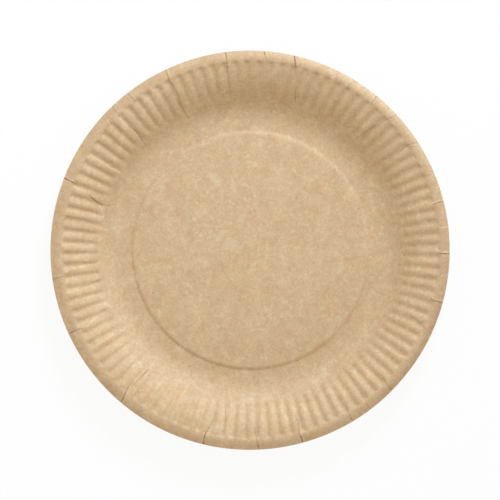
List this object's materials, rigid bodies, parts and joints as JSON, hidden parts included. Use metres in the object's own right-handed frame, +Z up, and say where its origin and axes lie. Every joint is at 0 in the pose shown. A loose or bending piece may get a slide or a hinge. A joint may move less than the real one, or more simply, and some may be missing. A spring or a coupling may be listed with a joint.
{
  "type": "paper plate",
  "caption": "Round disposable paper plate: raised disc, flat standing ring, fluted sloping rim and a lip rolled outwards, all pressed from one sheet of kraft board.",
  "frame": {"origin": "middle of the plane that the plate stands on, on the plate's axis", "axes": "+Z up out of the food side, +X through the middle of one flute's valley"},
  "size_m": [0.23, 0.23, 0.0153],
  "materials": {
    "kraft_board": "matte"
  },
  "bodies": {
    "root": {"plate": "kraft_board"}
  },
  "joints": []
}
